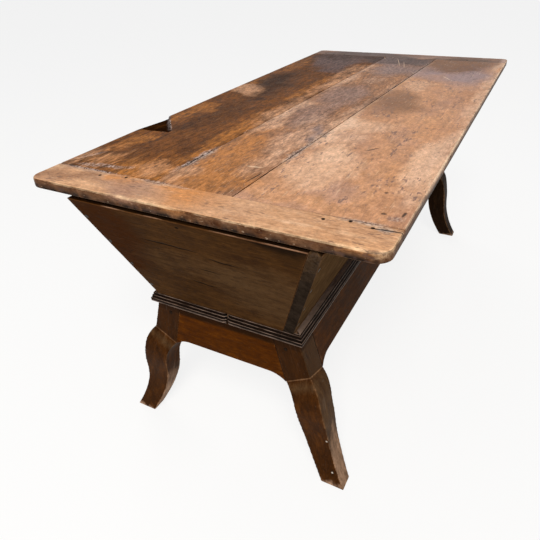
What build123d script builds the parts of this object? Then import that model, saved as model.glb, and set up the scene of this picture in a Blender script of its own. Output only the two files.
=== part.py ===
"""Antique dough box: a lidded trough with leaning boards on a base of cabriole legs.

Millimetres. The origin is on the floor under the middle of the table, +X to the right across
the table, +Y along it to the far end, +Z up. The near end is at -Y.
"""

import os
from math import atan, cos, sin

from build123d import *

os.makedirs("parts", exist_ok=True)

# ---- lid
table_height = 760.0
lid_width = 802.0
lid_length = 1664.0
lid_thickness = 22.0
breadboard_width = 90.0
near_corner_radius = 30.0
far_corner_radius = 20.0
lid_arris_top = 4.5
lid_arris_bottom = 2.5
left_joint_near, left_joint_far = -122.0, -70.0
right_joint_near, right_joint_far = 67.0, 136.0
left_joint_gap = 1.0
right_joint_gap = 3.0
tongue_thickness = 8.0
tongue_length = 36.0
tongue_end_inset = 22.0
groove_clearance = 1.0
lid_peg_radius = 3.5
lid_pegs = [(262, -759), (308, -748), (350, -757), (-256, -760), (-193, -748)]
split_start, split_y, split_width, split_depth = 350.0, -756.0, 1.4, 9.0
hollow_y, hollow_half_length, hollow_depth = -384.0, 78.0, 10.0

# ---- trough
board_thickness = 25.0
trough_lean = 0.37
trough_half_width = 292.0
trough_half_length = 831.0
bottom_thickness = 22.0
bottom_seam_x = -14.0

# ---- base
frame_top = 424.0
base_half_width = 194.0
base_lean = 0.30
base_half_length = 720.0
post_width = 67.0
post_depth = 67.0
post_inner_lean = 0.25
rail_thickness = 22.0
apron_underside = 303.0
rail_underside = 323.0
bracket_length, bracket_drop, bracket_sag = 46.0, 18.0, 5.5
tenon_thickness = 8.0
tenon_setback = 7.0
tenon_length = 40.0
tenon_shoulder = 12.0
draw_peg_x, draw_peg_z, draw_peg_radius, draw_peg_length = 163.0, 388.0, 4.5, 30.0

# ---- moulding round the top of the base
moulding_bottom = 409.0
moulding_lip_bottom = 419.5
moulding_lip_top = 424.5
moulding_top = 446.0
moulding_top_out = 2.0
moulding_lip_out = 11.0
reed_count = 3
reed_swell = 1.5
cove_lip, cove_lip_rise, cove_middle_out, cove_middle_rise = 2.0, 0.6, 2.6, 6.4
moulding_break_x, moulding_break_gap, moulding_break_chip = 12.0, 2.5, 7.0
brad_radius, brad_length, brad_height, brad_reach = 1.2, 24.0, 414.5, 3.0
end_brads, side_brads = (-160.0, -40.0, 60.0, 160.0), (-520.0, -260.0, 0.0, 260.0, 520.0)

# ---- hinges, on the left long side
hinge_places = (-520.0, 520.0)
barrel_radius = 5.0
barrel_clearance = 0.5
leaf_thickness = 3.0
leaf_width = 45.0
leaf_length = 90.0
leaf_corner_radius = 12.0
lid_knuckle_length = 35.0
knuckle_gap = 0.5
pin_radius = 2.5
pin_clearance = 0.05
pin_head_radius, pin_head_length, pin_head_round = 4.2, 2.0, 0.8
pin_end_play = 0.2
leaf_nails = [(20, -30), (34, 0), (20, 30)]

# ---- nails
nail_radius = 1.7
nail_head_radius, nail_head_thickness = 4.5, 1.6
corner_nail_length = 55.0
corner_nail_heights = (480.0, 548.0, 616.0, 684.0)
bottom_nail_length, bottom_nail_inset = 46.0, 15.5
leaf_nail_length = 20.0

# ---- sizes that follow
lid_underside = table_height - lid_thickness
half_lid_width = lid_width / 2
half_lid_length = lid_length / 2
plank_half_length = half_lid_length - breadboard_width
lean_angle = atan(trough_lean)
trough_arris_height = lid_underside - board_thickness * sin(lean_angle)
trough_floor = frame_top + bottom_thickness
board_run = board_thickness / cos(lean_angle)
far_beyond = 2500.0


def save(part, name):
    part.label = name
    export_step(part, f"parts/{name}.step")
    print(name, round(part.volume / 1000), "cm3")


def base_side(height):
    """Half width of the base at a height: its long sides lean outwards going down."""
    return base_half_width + base_lean * (frame_top - height)


def post_inner_side(height):
    """Distance from the middle to the inner face of a post."""
    return base_half_width - post_width + post_inner_lean * (frame_top - height)


def base_face(side, inset=0.0):
    """Leaning outer face of the base's long side, or a plane that far inside it."""
    angle = atan(base_lean)
    outward = Vector(side * cos(angle), 0, sin(angle))
    return Plane(origin=Vector(side * base_half_width, 0, frame_top) - outward * inset, z_dir=outward)


def trough_half(direction, height):
    """Half size of the trough, outside, in a direction and at a height."""
    half = trough_half_width if direction[0] else trough_half_length
    return half - trough_lean * (trough_arris_height - height)


def board_face(direction, inset=0.0):
    """Outer face of the leaning board on one side, or a plane that far inside it."""
    dx, dy = direction
    outward = Vector(dx * cos(lean_angle), dy * cos(lean_angle), -sin(lean_angle))
    reach = trough_half(direction, trough_arris_height)
    arris = Vector(dx * reach, dy * reach, trough_arris_height)
    return Plane(origin=arris - outward * inset, z_dir=outward)


def board_top(direction):
    """Top edge of the leaning board on one side, planed square to its faces."""
    dx, dy = direction
    reach = trough_half(direction, trough_arris_height)
    upward = Vector(dx * sin(lean_angle), dy * sin(lean_angle), cos(lean_angle))
    return Plane(origin=(dx * reach, dy * reach, trough_arris_height), z_dir=upward)


# ------------------------------------------------------------------ nails

def nail(seat, length):
    """A nail driven along -Z of its seat, its head flush with the seat's plane."""
    with BuildPart(seat) as driven:
        Cylinder(nail_radius, length, align=(Align.CENTER, Align.CENTER, Align.MAX))
        Cylinder(nail_head_radius, nail_head_thickness, align=(Align.CENTER, Align.CENTER, Align.MAX))
    return driven.part


right, near, left, far = (1, 0), (0, -1), (-1, 0), (0, 1)
sides = (right, near, left, far)


def runs_past(direction):
    """The neighbour whose end the board in this direction laps over."""
    return direction[1], -direction[0]


def butts_on(direction):
    """The neighbour that laps over the end of the board in this direction."""
    return -direction[1], direction[0]


def corner_nail_seats(direction):
    """Seats down one corner, on the face of the board that laps its neighbour's end."""
    dx, dy = direction
    ax, ay = runs_past(direction)
    face = board_face(direction)
    for height in corner_nail_heights:
        middle_height = height + corner_nail_length / 2 * sin(lean_angle)
        along = trough_half((ax, ay), middle_height) - board_run / 2
        reach = trough_half(direction, height)
        yield Plane(origin=(dx * reach + ax * along, dy * reach + ay * along, height), z_dir=face.z_dir)


def bottom_nail_seats():
    """Seats under the trough's bottom, below the edges of its four boards."""
    side_x = trough_half(right, trough_floor) - bottom_nail_inset
    end_y = trough_half(far, trough_floor) - bottom_nail_inset
    places = [(sx * side_x, y) for sx in (-1, 1) for y in range(-600, 601, 200)]
    places += [(x, sy * end_y) for sy in (-1, 1) for x in (-110, 90)]
    return [Plane(origin=(x, y, frame_top), z_dir=(0, 0, -1)) for x, y in places]


corner_nails = [nail(seat, corner_nail_length) for side in sides for seat in corner_nail_seats(side)]
bottom_nails = [nail(seat, bottom_nail_length) for seat in bottom_nail_seats()]

for nails, name in ((corner_nails, "trough_corner_nails"), (bottom_nails, "trough_bottom_nails")):
    save(Compound(children=nails), name)

# ------------------------------------------------------------------ hinges

hinge_angle_out = Vector(sin(lean_angle), 0, -cos(lean_angle))
hinge_toward_board = Vector(cos(lean_angle), 0, sin(lean_angle))
axis_offset = barrel_radius + barrel_clearance
axis_z = lid_underside - axis_offset
axis_x = -trough_half(left, axis_z) - axis_offset / cos(lean_angle)
plate_bottom = axis_offset - leaf_thickness


def lid_leaf_seat(y):
    """Hinge axis with X out along the lid leaf and Z towards the lid."""
    return Plane(origin=(axis_x, y, axis_z), x_dir=(-1, 0, 0), z_dir=(0, 0, 1))


def board_leaf_seat(y):
    """Hinge axis with X down along the board leaf and Z towards the side board."""
    return Plane(origin=(axis_x, y, axis_z), x_dir=hinge_angle_out, z_dir=hinge_toward_board)


def leaf_nail_group(seats):
    """Forged nails with low faceted heads, through a leaf into the wood behind it."""
    along_z = (Align.CENTER, Align.CENTER, Align.MIN)
    with BuildPart(*seats) as group:
        with Locations(*[(x, y, plate_bottom) for x, y in leaf_nails]):
            Cylinder(nail_radius, leaf_nail_length, align=along_z)
        with Locations(*[(x, y, plate_bottom - nail_head_thickness) for x, y in leaf_nails]):
            Cone(nail_radius, nail_head_radius, nail_head_thickness, align=along_z)
    return group.part


def hinge_leaf(seat, keeps_middle):
    """A forged leaf with the middle knuckle, or with the two outer ones."""
    outer_length = (leaf_length - lid_knuckle_length) / 2 - knuckle_gap
    outer_middle = (leaf_length - outer_length) / 2
    middle_span = [(0, lid_knuckle_length)]
    outer_spans = [(-outer_middle, outer_length), (outer_middle, outer_length)]
    spans, others = (middle_span, outer_spans) if keeps_middle else (outer_spans, middle_span)
    through, outward = Axis(seat.origin, seat.z_dir), Axis(seat.origin, seat.x_dir)
    with BuildPart(seat) as leaf:
        with Locations((0, 0, plate_bottom)):
            Box(leaf_width, leaf_length, leaf_thickness, align=(Align.MIN, Align.CENTER, Align.MIN))
        fillet(leaf.edges().filter_by(through).group_by(outward)[-1], leaf_corner_radius)
        for middle, length in others:
            with Locations((0, middle, 0)):
                Box(2 * axis_offset, length + 2 * knuckle_gap, 2 * axis_offset + 1, mode=Mode.SUBTRACT)
        for middle, length in spans:
            with Locations(Location((0, middle, 0), (90, 0, 0))):
                Cylinder(barrel_radius, length)
        with Locations(Location((0, 0, 0), (90, 0, 0))):
            Cylinder(pin_radius + pin_clearance, leaf_length + 1, mode=Mode.SUBTRACT)
        with Locations(*[(x, y, plate_bottom + leaf_thickness / 2) for x, y in leaf_nails]):
            Cylinder(nail_radius, leaf_thickness, mode=Mode.SUBTRACT)
    return leaf.part


def hinge_pin(y):
    """The pin along Y, with a peened head outside each outer knuckle."""
    ends = leaf_length / 2 + pin_head_length / 2 + pin_end_play
    with BuildPart(Plane(origin=(axis_x, y, axis_z), x_dir=(1, 0, 0), z_dir=(0, 1, 0))) as pin:
        Cylinder(pin_radius, 2 * ends)
        with Locations((0, 0, -ends), (0, 0, ends)):
            Cylinder(pin_head_radius, pin_head_length)
        rims = pin.edges().filter_by(GeomType.CIRCLE).group_by(Axis.Y)
        fillet(rims[0] + rims[-1], pin_head_round)
    return pin.part


lid_leaf_nails = leaf_nail_group([lid_leaf_seat(y) for y in hinge_places])
board_leaf_nails = leaf_nail_group([board_leaf_seat(y) for y in hinge_places])
save(lid_leaf_nails, "hinge_lid_nails")
save(board_leaf_nails, "hinge_board_nails")
for y, end in zip(hinge_places, ("near", "far")):
    save(hinge_leaf(lid_leaf_seat(y), True), f"hinge_lid_leaf_{end}")
    save(hinge_leaf(board_leaf_seat(y), False), f"hinge_board_leaf_{end}")
    save(hinge_pin(y), f"hinge_pin_{end}")

# ------------------------------------------------------------------ lid

tongue_plane = Plane.XY.offset(lid_underside + (lid_thickness - tongue_thickness) / 2)


def lid_peg_group(places):
    """Round pegs the thickness of the lid, standing upright."""
    with BuildPart(Plane.XY.offset(lid_underside)) as pegs:
        with Locations(*places):
            Cylinder(lid_peg_radius, lid_thickness, align=(Align.CENTER, Align.CENTER, Align.MIN))
    return pegs.part


lid_pegs_near = lid_peg_group(lid_pegs)
lid_pegs_far = lid_peg_group([(-x, -y) for x, y in lid_pegs])
save(lid_pegs_near, "lid_pegs_near")
save(lid_pegs_far, "lid_pegs_far")


def lid_plank(left_edge, right_edge, cuts=()):
    """A plank between two straight edges, each given by its X at the near and far ends."""
    tongue_limit = half_lid_width - tongue_end_inset
    with BuildPart() as plank:
        with BuildSketch(Plane.XY.offset(lid_underside)):
            Polygon(
                (left_edge[0], -plank_half_length),
                (right_edge[0], -plank_half_length),
                (right_edge[1], plank_half_length),
                (left_edge[1], plank_half_length),
                align=None,
            )
        extrude(amount=lid_thickness)
        lengthwise = plank.edges().filter_by(Axis.Y)
        for edge in [e for e in lengthwise if abs(abs(e.center().X) - half_lid_width) < 0.1]:
            fillet(edge, lid_arris_top if edge.center().Z > lid_underside + 1 else lid_arris_bottom)
        with BuildSketch(tongue_plane):
            for end, sign in ((0, -1), (1, 1)):
                low, high = max(left_edge[end], -tongue_limit), min(right_edge[end], tongue_limit)
                with Locations(((low + high) / 2, sign * (plank_half_length + tongue_length / 2))):
                    Rectangle(high - low, tongue_length)
        extrude(amount=tongue_thickness)
        for cut in (lid_pegs_near, lid_pegs_far, lid_leaf_nails, *cuts):
            add(cut, mode=Mode.SUBTRACT)
    return plank.part


left_edge = (-half_lid_width, -half_lid_width)
right_edge = (half_lid_width, half_lid_width)
left_joint = (left_joint_near, left_joint_far)
right_joint = (right_joint_near, right_joint_far)


def beside(joint, gap, sign):
    """One face of a joint between planks, half the gap to one side of its middle line."""
    return tuple(x + sign * gap / 2 for x in joint)


# the worn hollow in the left edge is a shallow scoop
scoop_radius = (hollow_half_length**2 + hollow_depth**2) / (2 * hollow_depth)
with BuildPart(Plane.XY.offset(table_height - hollow_depth + scoop_radius)) as hollow:
    with Locations((-half_lid_width, hollow_y)):
        Sphere(scoop_radius)

beside_left = [beside(left_joint, left_joint_gap, sign) for sign in (-1, 1)]
beside_right = [beside(right_joint, right_joint_gap, sign) for sign in (-1, 1)]
save(lid_plank(left_edge, beside_left[0], [hollow.part]), "lid_plank_left")
save(lid_plank(beside_left[1], beside_right[0]), "lid_plank_middle")
save(lid_plank(beside_right[1], right_edge), "lid_plank_right")


def lid_breadboard(end_sign, corner_radius, cuts):
    """The cross board at one end, with a stopped groove for the tongues."""
    inner, outer = end_sign * plank_half_length, end_sign * half_lid_length
    with BuildPart() as board:
        with BuildSketch(Plane.XY.offset(lid_underside)):
            with Locations((0, (inner + outer) / 2)):
                Rectangle(lid_width, breadboard_width)
            outline = vertices().sort_by(Axis.Y)
            fillet(outline[-2:] if end_sign > 0 else outline[:2], corner_radius)
        extrude(amount=lid_thickness)
        joint_line = [e for e in board.edges() if abs(e.center().Y - inner) < 0.1]
        rim = [e for e in board.edges().filter_by(Axis.Z, reverse=True) if e not in joint_line]
        fillet([e for e in rim if e.center().Z > table_height - 1], lid_arris_top)
        rim = board.faces().sort_by(Axis.Z)[0].edges()
        fillet([e for e in rim if abs(e.center().Y - inner) > 0.1], lid_arris_bottom)
        groove_depth = tongue_length + groove_clearance
        with BuildSketch(tongue_plane):
            with Locations((0, inner + end_sign * groove_depth / 2)):
                Rectangle(lid_width - 2 * tongue_end_inset, groove_depth)
        extrude(amount=tongue_thickness, mode=Mode.SUBTRACT)
        for cut in cuts:
            add(cut, mode=Mode.SUBTRACT)
    return board.part


# an open split runs into the near board from its right-hand end
with BuildPart() as end_split:
    with BuildSketch(Plane.XY.offset(table_height)):
        Polygon(
            (split_start, split_y),
            (half_lid_width + 1, split_y - split_width),
            (half_lid_width + 1, split_y + split_width / 2),
            align=None,
        )
    extrude(amount=-split_depth)

save(lid_breadboard(-1, near_corner_radius, [lid_pegs_near, end_split.part]), "lid_breadboard_near")
save(lid_breadboard(1, far_corner_radius, [lid_pegs_far]), "lid_breadboard_far")

# ------------------------------------------------------------------ trough


def trough_board(direction):
    """A leaning board. One end laps its neighbour, and the other butts on the next one."""
    with BuildPart() as board:
        with BuildSketch(board_face(direction)):
            Rectangle(far_beyond, far_beyond)
        extrude(amount=-board_thickness)
        for side in sides:
            split(bisect_by=board_top(side), keep=Keep.BOTTOM)
        split(bisect_by=Plane.XY.offset(trough_floor), keep=Keep.TOP)
        split(bisect_by=board_face(runs_past(direction)), keep=Keep.BOTTOM)
        split(bisect_by=board_face(butts_on(direction), board_thickness), keep=Keep.BOTTOM)
        for driven in corner_nails + bottom_nails:
            add(driven, mode=Mode.SUBTRACT)
        if direction == left:
            add(board_leaf_nails, mode=Mode.SUBTRACT)
    return board.part


for side, name in zip(sides, ("side_right", "end_near", "side_left", "end_far")):
    save(trough_board(side), f"trough_{name}")


def bottom_board(from_x, to_x, edge_side):
    """A board of the trough's bottom, its outer edge in line with the leaning rail's face."""
    with BuildPart() as board:
        with BuildSketch(Plane.XY.offset(frame_top)):
            with Locations(((from_x + to_x) / 2, 0)):
                Rectangle(to_x - from_x, 2 * base_half_length)
        extrude(amount=bottom_thickness)
        split(bisect_by=base_face(edge_side), keep=Keep.BOTTOM)
        for driven in bottom_nails:
            add(driven, mode=Mode.SUBTRACT)
    return board.part


save(bottom_board(-base_half_width, bottom_seam_x, -1), "trough_bottom_left")
save(bottom_board(bottom_seam_x, base_half_width, 1), "trough_bottom_right")

# ------------------------------------------------------------------ base

# Each station of a leg is a four-cornered section: its height at the outer front arris, how much of
# the knee line's tilt it keeps, how far the leg stands out from the lines of the post on its outer
# and inner faces, and the distances of its front and back faces from the middle of the table.
leg_stations = [
    (324, 1.00, 0.0, 0.0, 720.0, 653.0),
    (302, 0.80, 12.0, 10.0, 729.0, 661.0),
    (278, 0.60, 16.5, 15.5, 736.0, 668.0),
    (240, 0.35, 14.5, 17.0, 740.0, 673.0),
    (200, 0.15, 10.5, 14.5, 737.0, 673.0),
    (150, 0.00, 1.5, 12.5, 730.5, 671.0),
    (100, 0.00, -2.0, 16.0, 730.0, 675.0),
    (50, 0.00, 1.5, 25.0, 737.0, 686.0),
    (0, 0.00, 12.0, 38.0, 748.0, 704.0),
]
knee_rise_across = 0.60
knee_rise_along = 0.31
post_overlap = 20.0


def leg_corner(station, outer, front):
    """A corner of a leg's section, on the station's plane, for the leg at +X and +Y."""
    height, tilt, out_bulge, in_bulge, front_y, back_y = station
    rise_x, rise_y = tilt * knee_rise_across, tilt * knee_rise_along
    y = front_y if front else back_y
    start_x = base_half_width if outer else base_half_width - post_width
    lean = base_lean if outer else post_inner_lean
    bulge = out_bulge if outer else in_bulge
    reference_x = base_side(height) + out_bulge
    x_at_zero = start_x + lean * frame_top + bulge
    level = height + rise_x * (x_at_zero - reference_x) + rise_y * (y - front_y)
    z = level / (1 + rise_x * lean)
    return Vector(x_at_zero - lean * z, y, z)


def leg_section(station, side, end):
    """The four corners of a section in order, moved to the leg's own side and end."""
    order = ((True, True), (False, True), (False, False), (True, False))
    corners = [leg_corner(station, outer, front) for outer, front in order]
    return [Vector(side * c.X, end * c.Y, c.Z) for c in corners]


def section_plane(corners):
    """The plane through a section's corners."""
    across, along = corners[1] - corners[0], corners[3] - corners[0]
    return Plane(origin=corners[0], x_dir=across, z_dir=across.cross(along))


def apron_lines():
    """Outline of an apron: shoulders on the posts, and a bracket curve at each lower corner."""
    foot_z = apron_underside - bracket_drop
    foot_x, top_x = post_inner_side(foot_z), post_inner_side(frame_top)
    straight = foot_x - bracket_length
    Line((-straight, apron_underside), (straight, apron_underside))
    for s in (-1, 1):
        middle = (s * (straight + 0.58 * bracket_length), apron_underside - bracket_sag)
        ThreePointArc((s * straight, apron_underside), middle, (s * foot_x, foot_z))
        Line((s * foot_x, foot_z), (s * top_x, frame_top))
    Line((-top_x, frame_top), (top_x, frame_top))


def rail_lines():
    """Outline of a long rail, seen square on, with the same bracket curves."""
    shoulder = base_half_length - post_depth
    straight = shoulder - bracket_length
    foot_z = rail_underside - bracket_drop
    Line((-straight, rail_underside), (straight, rail_underside))
    for s in (-1, 1):
        middle = (s * (straight + 0.58 * bracket_length), rail_underside - bracket_sag)
        ThreePointArc((s * straight, rail_underside), middle, (s * shoulder, foot_z))
        Line((s * shoulder, foot_z), (s * shoulder, frame_top))
    Line((-shoulder, frame_top), (shoulder, frame_top))


def apron_tenons(end):
    """Tenons at both ends of an apron, leaning with the posts."""
    low, high = apron_underside + tenon_shoulder, frame_top - tenon_shoulder
    front = base_half_length - tenon_setback
    with BuildPart() as tenons:
        with BuildSketch(Plane.XZ.offset(-end * front)):
            for s in (-1, 1):
                low_x, high_x = post_inner_side(low), post_inner_side(high)
                Polygon(
                    (s * low_x, low),
                    (s * (low_x + tenon_length), low),
                    (s * (high_x + tenon_length), high),
                    (s * high_x, high),
                    align=None,
                )
        extrude(amount=end * tenon_thickness)
    return tenons.part


def rail_tenons(side):
    """Tenons at both ends of a long rail, in the plane of its leaning face."""
    low, high = rail_underside + tenon_shoulder, frame_top - tenon_shoulder
    shoulder = base_half_length - post_depth
    with BuildPart() as tenons:
        with BuildSketch(Plane.YZ):
            for s in (-1, 1):
                with Locations((s * (shoulder + tenon_length / 2), (low + high) / 2)):
                    Rectangle(tenon_length, high - low)
        extrude(amount=side * far_beyond / 4)
        split(bisect_by=base_face(side, tenon_setback), keep=Keep.BOTTOM)
        split(bisect_by=base_face(side, tenon_setback + tenon_thickness), keep=Keep.TOP)
    return tenons.part


def draw_pegs(end):
    """Pegs through the front of two posts and the tenons behind."""
    seat = Plane(origin=(0, end * base_half_length, 0), x_dir=(1, 0, 0), z_dir=(0, end, 0))
    with BuildPart(seat) as pegs:
        with Locations(*[(s * draw_peg_x, -end * draw_peg_z) for s in (-1, 1)]):
            Cylinder(draw_peg_radius, draw_peg_length, align=(Align.CENTER, Align.CENTER, Align.MAX))
    return pegs.part


def brad(place, outward):
    """A headless brad through the moulding's cove into the frame behind."""
    with BuildPart(Plane(origin=place, z_dir=outward)) as driven:
        Cylinder(brad_radius, brad_length, align=(Align.CENTER, Align.CENTER, Align.MAX))
    return driven.part


brads = []
for sign in (-1, 1):
    for x in end_brads:
        brads.append(brad((x, sign * (base_half_length + brad_reach), brad_height), (0, sign, 0)))
    for y in side_brads:
        brads.append(brad((sign * (base_side(moulding_bottom) + brad_reach), y, brad_height), (sign, 0, 0)))
save(Compound(children=brads), "moulding_nails")

tenons_of_ends = {end: apron_tenons(end) for end in (-1, 1)}
tenons_of_sides = {side: rail_tenons(side) for side in (-1, 1)}
pegs_of_ends = {end: draw_pegs(end) for end in (-1, 1)}
end_names = {-1: "near", 1: "far"}
side_names = {-1: "left", 1: "right"}

for end in (-1, 1):
    save(pegs_of_ends[end], f"draw_pegs_{end_names[end]}")
    with BuildPart() as apron:
        with BuildSketch(Plane.XZ.offset(-end * base_half_length)):
            with BuildLine():
                apron_lines()
            make_face()
        extrude(amount=end * rail_thickness)
        add(tenons_of_ends[end])
        for cut in (pegs_of_ends[end], *brads):
            add(cut, mode=Mode.SUBTRACT)
    save(apron.part, f"apron_{end_names[end]}")

for side in (-1, 1):
    with BuildPart() as rail:
        with BuildSketch(Plane.YZ):
            with BuildLine():
                rail_lines()
            make_face()
        extrude(amount=side * far_beyond / 4)
        split(bisect_by=base_face(side), keep=Keep.BOTTOM)
        split(bisect_by=base_face(side, rail_thickness), keep=Keep.TOP)
        add(tenons_of_sides[side])
        for cut in brads:
            add(cut, mode=Mode.SUBTRACT)
    save(rail.part, f"rail_{side_names[side]}")


def cabriole(sections):
    """The sawn leg: four faces ruled between curved arrises, closed by its two end sections."""
    arrises = [Spline(*[corners[i] for corners in sections]) for i in range(4)]
    faces = [Face.make_surface_from_curves(arrises[i - 1], arrises[i]) for i in range(4)]
    faces += [Face(Wire.make_polygon(corners)) for corners in (sections[0], sections[-1])]
    return Solid(Shell(faces))


def leg(side, end):
    """Post and cabriole leg sawn from one piece of wood."""
    sections = [leg_section(station, side, end) for station in leg_stations]
    knee_plane = section_plane(sections[0])
    low_z = sections[0][2].Z - post_overlap
    with BuildPart() as whole:
        with BuildSketch(Plane.XZ.offset(-end * base_half_length)):
            Polygon(
                (side * base_side(frame_top), frame_top),
                (side * post_inner_side(frame_top), frame_top),
                (side * post_inner_side(low_z), low_z),
                (side * base_side(low_z), low_z),
                align=None,
            )
        extrude(amount=end * post_depth)
        split(bisect_by=knee_plane, keep=Keep.TOP if knee_plane.z_dir.Z > 0 else Keep.BOTTOM)
        add(cabriole(sections))
        for cut in (tenons_of_ends[end], tenons_of_sides[side], pegs_of_ends[end], *brads):
            add(cut, mode=Mode.SUBTRACT)
    return whole.part


for end in (-1, 1):
    for side in (-1, 1):
        save(leg(side, end), f"leg_{end_names[end]}_{side_names[side]}")

# ------------------------------------------------------------------ moulding


def moulding_lines(sign, out, back_top):
    """Section of the moulding: reeds down a sloping face, a lip and a cove below it."""
    top = Vector(sign * (out + moulding_top_out), moulding_top)
    lip = Vector(sign * (out + moulding_lip_out), moulding_lip_top)
    slope = lip - top
    outward = Vector(-slope.Y, slope.X).normalized() * sign
    back_upper, back_lower = (sign * back_top, moulding_top), (sign * out, moulding_bottom)
    Line(back_upper, top)
    for i in range(reed_count):
        start, finish = top + slope * (i / reed_count), top + slope * ((i + 1) / reed_count)
        ThreePointArc(start, (start + finish) / 2 + outward * reed_swell, finish)
    lip_foot = (lip.X, moulding_lip_bottom)
    cove_start = (lip.X - sign * cove_lip, moulding_lip_bottom - cove_lip_rise)
    cove_middle = (sign * (out + cove_middle_out), moulding_bottom + cove_middle_rise)
    Line(lip, lip_foot)
    Line(lip_foot, cove_start)
    ThreePointArc(cove_start, cove_middle, back_lower)
    Line(back_lower, back_upper)


side_out = base_side(moulding_bottom)


def mitre(side, end):
    """Upright plane through a corner's mitre, facing the long side."""
    return Plane(origin=(side * side_out, end * base_half_length, 0), z_dir=(side, -end, 0))


def end_moulding(end, from_x, to_x, cuts=()):
    """A length of moulding across one end, between two X values."""
    with BuildPart() as length:
        with BuildSketch(Plane.YZ.offset(from_x)):
            with BuildLine():
                moulding_lines(end, base_half_length, base_half_length)
            make_face()
        extrude(amount=to_x - from_x)
        for side in (-1, 1):
            split(bisect_by=mitre(side, end), keep=Keep.BOTTOM)
        for cut in (*brads, *cuts):
            add(cut, mode=Mode.SUBTRACT)
    return length.part


def side_moulding(side):
    """The moulding along one long side, mitred at both ends and backed by the leaning frame."""
    with BuildPart() as length:
        with BuildSketch(Plane.XZ):
            with BuildLine():
                moulding_lines(side, side_out, base_side(moulding_top))
            make_face()
        extrude(amount=base_half_length + moulding_lip_out * 2, both=True)
        for end in (-1, 1):
            split(bisect_by=mitre(side, end), keep=Keep.TOP)
        for cut in brads:
            add(cut, mode=Mode.SUBTRACT)
    return length.part


# the lower corner beside the break has broken away
with BuildPart() as break_chip:
    with BuildSketch(Plane.XZ.offset(base_half_length - 1)):
        Polygon(
            (moulding_break_x + 1, moulding_bottom - 1),
            (moulding_break_x - moulding_break_chip, moulding_bottom - 1),
            (moulding_break_x + 1, moulding_lip_top + 3),
            align=None,
        )
    extrude(amount=4 * moulding_lip_out)

widest = side_out + 2 * moulding_lip_out
save(end_moulding(-1, -widest, moulding_break_x, [break_chip.part]), "moulding_near_left")
save(end_moulding(-1, moulding_break_x + moulding_break_gap, widest), "moulding_near_right")
save(end_moulding(1, -widest, widest), "moulding_far")
for side in (-1, 1):
    save(side_moulding(side), f"moulding_{side_names[side]}")
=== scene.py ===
import bpy
import bmesh
from functools import partial
from math import atan, cos, pi, radians, sin
from mathutils import Matrix, Quaternion, Vector, noise


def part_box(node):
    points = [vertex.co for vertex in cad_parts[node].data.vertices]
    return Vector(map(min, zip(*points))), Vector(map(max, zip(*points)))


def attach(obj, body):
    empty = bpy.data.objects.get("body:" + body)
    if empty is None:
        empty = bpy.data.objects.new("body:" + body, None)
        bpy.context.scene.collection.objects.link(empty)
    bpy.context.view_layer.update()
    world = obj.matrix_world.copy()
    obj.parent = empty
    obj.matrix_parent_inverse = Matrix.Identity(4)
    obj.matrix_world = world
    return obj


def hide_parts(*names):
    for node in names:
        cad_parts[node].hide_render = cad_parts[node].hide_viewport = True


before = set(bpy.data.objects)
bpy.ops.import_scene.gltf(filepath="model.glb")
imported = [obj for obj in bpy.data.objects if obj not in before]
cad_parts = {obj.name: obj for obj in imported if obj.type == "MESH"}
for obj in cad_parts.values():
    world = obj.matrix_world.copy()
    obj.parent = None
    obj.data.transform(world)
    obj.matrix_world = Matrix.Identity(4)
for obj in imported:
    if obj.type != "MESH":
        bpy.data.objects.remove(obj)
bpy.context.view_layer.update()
print("frame loaded:", len(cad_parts), "nodes")

mm = 0.001


# ---- shared helpers

def linearColour(hexCode):
    # an sRGB hex value as linear light
    channels = [int(hexCode[i:i + 2], 16) / 255 for i in (1, 3, 5)]
    return [c / 12.92 if c <= 0.04045 else ((c + 0.055) / 1.055) ** 2.4 for c in channels] + [1]


def addNode(tree, kind, inputs=(), out=0, **settings):
    # one node with its settings, its inputs as values, hex colours or links from other outputs, and
    # the output that is asked for
    node = tree.nodes.new("ShaderNode" + kind)
    for name, value in settings.items():
        setattr(node, name, value)
    for socket, value in dict(inputs).items():
        if isinstance(value, bpy.types.NodeSocket):
            tree.links.new(value, node.inputs[socket])
        else:
            node.inputs[socket].default_value = linearColour(value) if isinstance(value, str) else value
    return node.outputs[out] if node.outputs else None


def setRamp(tone, stops):
    # the colour stops of the ramp that this output belongs to, as (place, hex colour)
    ramp = tone.node.color_ramp
    while len(ramp.elements) < len(stops):
        ramp.elements.new(0.5)
    for element, (place, colour) in zip(ramp.elements, stops):
        element.position = place
        element.color = linearColour(colour)


def newMaterial(name):
    material = bpy.data.materials.new(name)
    material.use_nodes = True
    material.node_tree.nodes.clear()
    return material


def addObject(name, data):
    made = bpy.data.objects.new(name, data)
    bpy.context.scene.collection.objects.link(made)
    return made


# ---- camera and light

cameraSettings = {
    "place": (0.54617, -1.47310, 1.15172),
    "yaw": -0.5037,
    "pitch": 0.5736,
    "roll": 0.0410,
    "lens": 32.795,
    "sensor": 36.0,
}

lightSettings = {
    "sky": "#F4F7FF",
    "skyStrength": 0.38,
    "windowPlace": (1.7, -4.2, 5.0),
    "windowAim": (0.0, 0.0, 0.5),
    "windowSize": 2.4,
    "windowPower": 322.0,
    "windowColour": "#FFFBF4",
    "fillFrom": (-2.0, 1.7, 1.0),
    "fillAngle": 50.0,
    "fillStrength": 1.1,
    "floorSize": 80.0,
    "floorColour": "#F2F1EE",
    "floorGlow": 0.8,
}


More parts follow.
